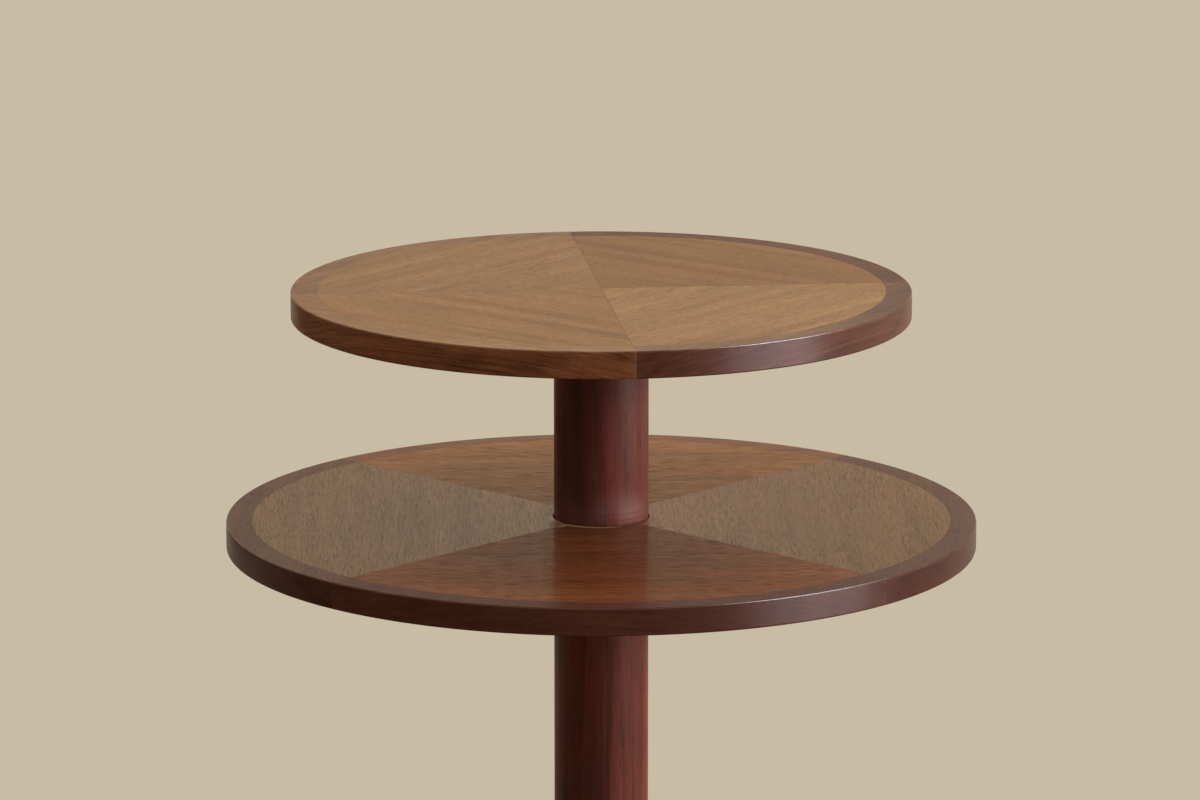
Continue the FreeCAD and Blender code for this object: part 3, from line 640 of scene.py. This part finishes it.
# Outside of the profile at x = 0, upwards is negative y, as the sweep turns it over
def rimProfile(height):
    arris, width, easing = rim["arris"], rim["width"], rim["easing"]
    middle, halfTongue = height / 2, rim["tongueHeight"] / 2
    support = arris + rim["support"]
    points = [(-width, easing), (-width + easing, 0.0), (-support, 0.0)]
    for step in range(rim["arrisSteps"] + 1):
        turn = -quarter + quarter * step / rim["arrisSteps"]
        points.append((-arris + arris * math.cos(turn), arris + arris * math.sin(turn)))
    points += [(0.0, support), (0.0, height - support)]
    for step in range(rim["arrisSteps"] + 1):
        turn = quarter * step / rim["arrisSteps"]
        points.append((-arris + arris * math.cos(turn), height - arris + arris * math.sin(turn)))
    points += [(-support, height), (-width + easing, height), (-width, height - easing)]
    tongueEnd = -width - rim["tongueDepth"]
    points += [(-width, middle + halfTongue), (tongueEnd, middle + halfTongue)]
    points += [(tongueEnd, middle - halfTongue), (-width, middle - halfTongue)]
    return [(x, -y) for x, y in points]


def camelName(name):
    parts = name.split("_")
    return parts[0] + "".join(part.capitalize() for part in parts[1:])


# Each quarter of a board has the tones of its rim and its veneer; the veneer's tone is partly its own
# colour and partly painted sheen, for how its fibres catch the light at that turn. A quarter may have a
# painted sheen on its rim top (least and most) or painted shade on its veneer. The middle of the first
# quarter is in degrees.
trunkReach = 3.0  # metres of timber that the pieces are cut from
boards = {
    "upper": {
        "body": "stand", "radius": 300 * mm, "bottom": 674 * mm, "top": 700 * mm, "hole": 0.0,
        "firstMiddle": 45.0, "veneer": upperVeneer, "edging": upperRim, "seed": 11,
        "paled": {"back_right": (0.05, 0.05), "back_left": (0.4, 0.4),
                  "front_left": (0.5, 0.88), "front_right": (0.08, 0.5)}, "jointLine": 0.8,
        "quarters": {"back_right": (0.05, 0.05), "back_left": (0.35, 0.45),
                     "front_left": (0.85, 0.65), "front_right": (0.2, 0.9)}},
    "lower": {
        "body": "lower_tier", "radius": 365 * mm, "bottom": 448 * mm, "top": 474 * mm, "hole": 47.2 * mm,
        "firstMiddle": 85.6, "veneer": lowerVeneer, "edging": lowerRim, "seed": 23,
        "paled": {"left": (0.12, 0.12), "right": (0.12, 0.12)}, "jointLine": 0.3,
        "paintedShadeLeaves": ("left", "right"),
        "quarters": {"back": (0.9, 0.2), "left": (0.18, 0.1), "front": (0.3, 0.9), "right": (0.15, 0.1)}},
    "base": {
        "body": "stand", "radius": 240 * mm, "bottom": 8 * mm, "top": 44 * mm, "hole": 30.1 * mm,
        "firstMiddle": 45.0, "veneer": lowerVeneer, "edging": lowerRim, "seed": 37,
        "paled": {}, "jointLine": 0.3,
        "quarters": {"back_right": (0.1, 0.4), "back_left": (0.25, 0.5),
                     "front_left": (0.15, 0.6), "front_right": (0.05, 0.45)}},
}


def buildRims(name, board):
    profile = outlineMesh("rimProfile", rimProfile(board["top"] - board["bottom"]))
    chance = random.Random(board["seed"])
    radius, arris = board["radius"], rim["arris"]
    sweep = quarter - rim["hairline"] / radius

    def nearArris(place):
        out = radius - math.hypot(place.x, place.y)
        fromEdge = min(place.z - board["bottom"], board["top"] - place.z)
        return 1.0 if max(out, fromEdge) <= arris * rim["arrisReach"] else 0.0

    # the top has a painted sheen, strongest towards the front, and the outside has a pale line of glue at
    # each joint
    def glueLineAndPaintedSheen(place, middle, paled):
        out = radius - math.hypot(place.x, place.y)
        turn = math.atan2(place.y, place.x)
        fromEnd = quarter / 2 - abs((turn - middle + math.pi) % (2 * math.pi) - math.pi)
        if out < arris and fromEnd * radius < rim["hairline"] + rim["glueLine"]:
            return board["jointLine"]
        if place.z < board["top"] - rim["topSkin"] or out < arris:
            return 0.0
        low, high = rim["sheenFrom"], rim["sheenTo"]
        share = (math.cos(turn - rim["paledFront"]) - low) / (high - low)
        least, most = paled
        return least + (most - least) * clamped(share)

    for step, (label, (rimTone, veneerToneAndSheen)) in enumerate(board["quarters"].items()):
        middle = math.radians(board["firstMiddle"]) + quarter * step
        mesh = runTree(rimTree, rimSockets, profile, {
            "Radius": radius, "Start": middle - sweep / 2, "Sweep": sweep, "Level": board["bottom"],
            "Steps": rim["steps"] + 1, "Material": board["edging"]})
        # two close cuts at each end keep the pale joint line narrow
        line, fade = rim["glueLine"] / radius, rim["glueFade"] / radius
        insets = (line, line + fade)
        closeUp(mesh, [middle + side * (sweep / 2 - inset) for side in (-1, 1) for inset in insets])
        along = Vector((-math.sin(middle), math.cos(middle), rim["slopes"][name])).normalized()
        across = Matrix.Rotation(rim["lean"], 3, along) @ Vector((math.cos(middle), math.sin(middle), 0.0))
        offset = [chance.uniform(-trunkReach, trunkReach) for axis in range(3)]
        paled = board["paled"].get(label, (0.0, 0.0))
        layGrain(mesh, along, across, offset, rimTone, nearArris,
                 lambda place: glueLineAndPaintedSheen(place, middle, paled))
        solid = f"{name}_rim_{label}"
        piece = addPiece(camelName(solid), mesh, board["body"], "rim_mahogany", solid)
        rimGroup.objects.link(piece)


veneer = {
    "thickness": 0.8 * mm, "easing": 0.08 * mm, "arcSteps": 90, "holeSteps": 30, "glueGap": 0.1 * mm,
    "wearAndGlintLine": 7 * mm, "seamPoint": 21 * mm, "leafShift": 4 * mm,
    # the hole's pale edge, worn and with a painted highlight: how far it reaches, which way it faces and
    # how it falls off
    "wearAndGlintReach": 0.5 * mm, "wearAndGlintTowards": (-0.6, -0.8), "wearAndGlintFrom": 0.5, "wearAndGlintSpan": 0.3,
}


def quarterOutline(inner, outer, inset):
    gap = rim["hairline"] / 2 + inset
    outer = outer - inset
    points = []
    start = math.asin(gap / outer)
    for step in range(veneer["arcSteps"] + 1):
        turn = start + (quarter - 2 * start) * step / veneer["arcSteps"]
        points.append((outer * math.cos(turn), outer * math.sin(turn)))
    if inner == 0:
        return points + [(gap, gap)]
    # a point on each seam close to the hole keeps the wear from running out along the seam
    stop = inner + veneer["seamPoint"]
    inner = inner + inset
    along = math.sqrt(stop ** 2 - gap ** 2)
    points.append((gap, along))
    start = math.asin(gap / inner)
    for step in range(veneer["holeSteps"] + 1):
        turn = quarter - start - (quarter - 2 * start) * step / veneer["holeSteps"]
        points.append((inner * math.cos(turn), inner * math.sin(turn)))
    return points + [(along, gap)]


def buildVeneers(name, board):
    hole, top, easing = board["hole"], board["top"], veneer["easing"]
    outer = board["radius"] - rim["width"] - veneer["glueGap"]
    layers = [(0.0, top - veneer["thickness"]), (0.0, top - easing)]
    layers += [(easing, top), (veneer["wearAndGlintLine"], top)]
    chance = random.Random(board["seed"] + 1)
    sheetOffset = [chance.uniform(-trunkReach, trunkReach) for axis in range(3)]

    # the hole's edge is pale with wear and a painted highlight, most at the front, a little to the left
    def wornAndGlintingHole(place):
        if not hole or math.hypot(place.x, place.y) > hole + veneer["wearAndGlintReach"]:
            return 0.0
        x, y = veneer["wearAndGlintTowards"]
        towards = (x * place.x + y * place.y) / hole
        return clamped((towards - veneer["wearAndGlintFrom"]) / veneer["wearAndGlintSpan"])

    for step, (label, (rimTone, veneerToneAndSheen)) in enumerate(board["quarters"].items()):
        middle = math.radians(board["firstMiddle"]) + quarter * step
        cosine, sine = math.cos(middle - quarter / 2), math.sin(middle - quarter / 2)
        shape = bmesh.new()
        rings = []
        for inset, level in layers:
            outline = quarterOutline(hole, outer, inset)
            places = [(x * cosine - y * sine, x * sine + y * cosine, level) for x, y in outline]
            rings.append([shape.verts.new(place) for place in places])
        for below, above in zip(rings, rings[1:]):
            for index in range(len(below)):
                following = (index + 1) % len(below)
                shape.faces.new((below[index], below[following], above[following], above[index]))
        shape.faces.new(rings[-1])
        shape.faces.new(reversed(rings[0]))
        solid = f"{name}_veneer_{label}"
        mesh = meshFrom(shape, camelName(solid), board["veneer"])
        # neighbouring leaves are turned over, so the figure mirrors at each seam
        side = 1 if step % 2 else -1
        along = Vector((-math.sin(middle), math.cos(middle), 0.0)) * side
        across = Vector((math.cos(middle), math.sin(middle), 0.0))
        shift = veneer["leafShift"]
        leafOffset = [number + chance.uniform(-shift, shift) for number in sheetOffset]
        # painted shade on the outer part of the left and right leaves
        paintedShade = 1.0 if label in board.get("paintedShadeLeaves", ()) else 0.0
        layGrain(mesh, along, across, leafOffset, veneerToneAndSheen, wornAndGlintingHole, lambda place: paintedShade)
        addPiece(camelName(solid), mesh, board["body"], "veneer_mahogany", solid)


for boardName, boardSizes in boards.items():
    buildRims(boardName, boardSizes)
    buildVeneers(boardName, boardSizes)
    print(boardName, "board: four rims and four veneer quarters")

# the band above the lower tier, by level in millimetres and strength: rubbed by use, with a painted
# highlight on one side
column = {
    "radius": 46 * mm, "tenon": 30 * mm, "bore": 7 * mm, "bottom": 44 * mm, "top": 650 * mm,
    "tenonBottom": 30 * mm, "tenonTop": 668 * mm, "easing": 0.6 * mm, "steps": 128, "rows": 24,
    "tone": 0.35, "grainShift": (1.3, 0.4, -0.7),
    # painted light on the side that faces the light, and painted shadow just under each board
    "litSide": math.radians(-30), "litFully": 0.8, "under": (622 * mm, 382 * mm), "shaded": 55 * mm,
    "burnish": ((475, 0.0), (477, 0.5), (479, 0.25), (482, 0.8), (485, 0.5), (488, 0.8), (491, 0.6),
                (495, 0.5), (500, 0.35), (507, 0.12), (515, 0.0)),
    # the side where the band's painted highlight is strongest, and how fast it falls off round the column
    "burnishedSide": math.radians(-67), "burnishFall": 8, "least": 0.15, "sameLevel": 0.1 * mm,
}


# Turns a closed profile of (radius, level) about z; a limit cuts flats on the outside
def turnedMesh(name, profile, steps, material, limit=None):
    shape = bmesh.new()
    rings = []
    for step in range(steps):
        turn = 2 * math.pi * step / steps
        most = limit(turn) if limit else math.inf
        cut = [(min(reach, most), level) for reach, level in profile]
        places = [(reach * math.cos(turn), reach * math.sin(turn), level) for reach, level in cut]
        rings.append([shape.verts.new(place) for place in places])
    for step in range(steps):
        here, there = rings[step], rings[(step + 1) % steps]
        for index in range(len(profile)):
            following = (index + 1) % len(profile)
            shape.faces.new((here[index], there[index], there[following], here[following]))
    bmesh.ops.remove_doubles(shape, verts=shape.verts, dist=weld)
    return meshFrom(shape, name, material)


def buildColumn():
    radius, tenon, bore, easing = column["radius"], column["tenon"], column["bore"], column["easing"]
    bottom, top, least = column["bottom"], column["top"], column["least"]
    profile = [(bore, column["tenonBottom"]), (tenon, column["tenonBottom"]), (tenon, bottom)]
    profile += [(radius - easing, bottom), (radius, bottom + easing)]
    low, high = bottom + 2 * easing, top - 2 * easing
    burnish = {level * mm: share for level, share in column["burnish"]}
    levels = [low + (high - low) * row / column["rows"] for row in range(column["rows"] + 1)]
    levels = [level for level in levels if not min(burnish) < level < max(burnish)]
    profile += [(radius, level) for level in sorted(levels + list(burnish))]
    profile += [(radius, top - easing), (radius - easing, top)]
    profile += [(tenon, top), (tenon, column["tenonTop"]), (bore, column["tenonTop"])]
    mesh = turnedMesh("columnWood", profile, column["steps"], columnWood)

    # painted light on the side that faces the light, and painted shadow close under a board
    def paintedLightAndShadow(place):
        facing = math.cos(math.atan2(place.y, place.x) - column["litSide"])
        clear = min((level - place.z for level in column["under"] if level > place.z), default=0.0)
        opened = min(1.0, least + (1 - least) * clear / column["shaded"])
        return clamped(facing / column["litFully"]) * opened

    # rubbed by use, with a painted highlight strongest on one side
    def burnished(place):
        near = [share for level, share in burnish.items() if abs(place.z - level) < column["sameLevel"]]
        facing = math.cos(math.atan2(place.y, place.x) - column["burnishedSide"])
        return sum(near) * (least + (1 - least) * max(0.0, facing) ** column["burnishFall"])

    layGrain(mesh, (0, 0, 1), (1, 0, 0), column["grainShift"], column["tone"], burnished, paintedLightAndShadow)
    addPiece("columnTurned", mesh, "stand", "column_mahogany", "column")


buildColumn()
print("column turned")

rod = {
    "radius": 6 * mm, "root": 5.3 * mm, "pitch": 1.75 * mm, "bottom": 9.5 * mm, "top": 674 * mm,
    "lowThread": 28 * mm, "highThread": 20 * mm, "chamfer": 0.8 * mm, "steps": 48,
}


# Thread as fine ridges from one level to another; valley and peak are shares of a turn
def ridges(crest, root, pitch, start, end):
    valley, peak = 0.05, 0.5
    count = max(1, round((end - start) / pitch))
    pitch = (end - start) / count
    points = []
    for turn in range(count):
        points += [(root, start + pitch * (turn + valley)), (crest, start + pitch * (turn + peak))]
    return points + [(root, end)]


def buildRod():
    radius, root, pitch = rod["radius"], rod["root"], rod["pitch"]
    bottom, top, chamfer = rod["bottom"], rod["top"], rod["chamfer"]
    lowEnd, highStart = bottom + rod["lowThread"], top - rod["highThread"]
    profile = [(0.0, bottom), (root - chamfer / 2, bottom)]
    profile += ridges(radius, root, pitch, bottom + chamfer, lowEnd)
    profile += [(radius, lowEnd + chamfer), (radius, highStart - chamfer)]
    profile += ridges(radius, root, pitch, highStart, top - chamfer)
    profile += [(root - chamfer / 2, top), (0.0, top)]
    mesh = turnedMesh("tieRod", profile, rod["steps"], steel)
    addPiece("tieRod", mesh, "stand", "rod_steel", "tie_rod")


nut = {
    "apothem": 9.5 * mm, "bore": 6.05 * mm, "bottom": 11.5 * mm, "top": 21.5 * mm, "steps": 72,
    "chamfer": (0.3 * mm, 0.6 * mm, 0.9 * mm), "chamferSlope": 1.75,
}


# Hexagon nut with both faces chamfered, corners on the x axis
def buildNut():
    flat, bore, bottom, top = nut["apothem"], nut["bore"], nut["bottom"], nut["top"]
    depths, slope = nut["chamfer"], nut["chamferSlope"]
    sixth = math.pi / 3
    profile = [(bore, bottom), (flat, bottom)]
    profile += [(flat + slope * depth, bottom + depth) for depth in depths]
    profile += [(flat + slope * depth, top - depth) for depth in reversed(depths)]
    profile += [(flat, top), (bore, top)]

    def toFlat(turn):
        return flat / math.cos(turn % sixth - sixth / 2)

    mesh = turnedMesh("rodNut", profile, nut["steps"], steel, toFlat)
    addPiece("rodNut", mesh, "stand", "rod_steel", "rod_nut")


buildRod()
buildNut()
print("tie rod and nut")


# A ring of screws: the slot is cut in the head, then the screw is set round a circle of points
def buildScrewTree():
    tree, sockets = newTree("screwRing", {
        "Count": "NodeSocketInt", "Radius": "NodeSocketFloat", "Level": "NodeSocketFloat",
        "Tilt": "NodeSocketFloat", "Slot": "NodeSocketVector", "Seed": "NodeSocketInt",
        "Material": "NodeSocketMaterial"})
    given = addNode(tree, "NodeGroupInput")
    slotBlade = addNode(tree, "GeometryNodeMeshCube", inputs={"Size": given.outputs["Slot"]})
    slotted = addNode(tree, "GeometryNodeMeshBoolean", {"operation": "DIFFERENCE", "solver": "EXACT"},
                      {0: given.outputs["Geometry"], 1: slotBlade})
    circle = addNode(tree, "GeometryNodeMeshCircle",
                     inputs={"Vertices": given.outputs["Count"], "Radius": given.outputs["Radius"]})
    lift = addNode(tree, "ShaderNodeCombineXYZ", inputs={"Z": given.outputs["Level"]})
    lifted = addNode(tree, "GeometryNodeSetPosition", inputs={"Geometry": circle, "Offset": lift})
    place = addNode(tree, "GeometryNodeInputPosition")
    parts = addNode(tree, "ShaderNodeSeparateXYZ", inputs={0: place})
    ringTurn = addNode(tree, "ShaderNodeMath", {"operation": "ARCTAN2"},
                       {0: parts.outputs["Y"], 1: parts.outputs["X"]})
    spin = addNode(tree, "FunctionNodeRandomValue", inputs={"Seed": given.outputs["Seed"]})
    spinTurn = addNode(tree, "ShaderNodeMath", times, {0: spin, 1: math.pi})
    turns = addNode(tree, "ShaderNodeCombineXYZ", inputs={
        "X": spinTurn, "Y": given.outputs["Tilt"], "Z": ringTurn})
    facing = addNode(tree, "FunctionNodeEulerToRotation", inputs={"Euler": turns})
    ring = addNode(tree, "GeometryNodeInstanceOnPoints", inputs={
        "Points": lifted, "Instance": slotted, "Rotation": facing})
    endTree(tree, given, ring)
    return tree, sockets


screw = {
    "head": 4.75 * mm, "shank": 2.5 * mm, "root": 2.0 * mm, "pitch": 2.0 * mm, "plain": 7 * mm,
    "runOut": 0.5 * mm, "point": 5 * mm, "easing": 0.15 * mm, "sides": 28,
    "slotWidth": 1.2 * mm, "slotDepth": 1.1 * mm, "firstSeed": 3,
}
# Body, count, the ring's radius and level and the screws' length in millimetres, and their tilt in degrees:
# 0 points inwards, 90 up, -90 down
screwRings = {
    "boss_screws": ("stand", 8, 72.75, 650.0, 39.6, 90),
    "hub_screws": ("lower_tier", 6, 76.0, 414.0, 49.6, 90),
    "upper_plate_screws": ("stand", 4, 42.55, 674.0, 18.3, -90),
    "base_plate_screws": ("stand", 4, 42.55, 24.0, 15.5, 90),
    "collar_screws": ("stand", 4, 66.0, 397.0, 42.0, 0),
    "foot_screws": ("stand", 4, 200.0, 2.5, 21.5, 90),
}


# One screw lying along x, its head's face at the origin and its point at minus x
def screwMesh(length):
    head, shank, easing = screw["head"], screw["shank"], screw["easing"]
    profile = [(0.0, 0.0), (head - 2 * easing, 0.0), (head - easing, easing), (shank, head - shank)]
    threadStart, threadEnd = screw["plain"] + screw["runOut"], length - screw["point"]
    profile += [(shank, screw["plain"])]
    profile += ridges(shank, screw["root"], screw["pitch"], threadStart, threadEnd)
    profile += [(0.0, length)]
    mesh = turnedMesh("screw", profile, screw["sides"], screwSteel)
    mesh.transform(Matrix.Rotation(-quarter, 4, "Y"))
    return mesh


def buildScrews():
    tree, sockets = buildScrewTree()
    blade = (2 * screw["slotDepth"], 3 * screw["head"], screw["slotWidth"])
    for seed, (name, ring) in enumerate(screwRings.items(), screw["firstSeed"]):
        body, count, radius, level, length, tilt = ring
        mesh = runTree(tree, sockets, screwMesh(length * mm), {
            "Count": count, "Radius": radius * mm, "Level": level * mm,
            "Tilt": math.radians(tilt), "Slot": blade, "Seed": seed, "Material": screwSteel})
        closeUp(mesh)
        addPiece(camelName(name + "_steel"), mesh, body, "screw_steel", name)


buildScrews()
print("screws set:", len(screwRings), "rings")
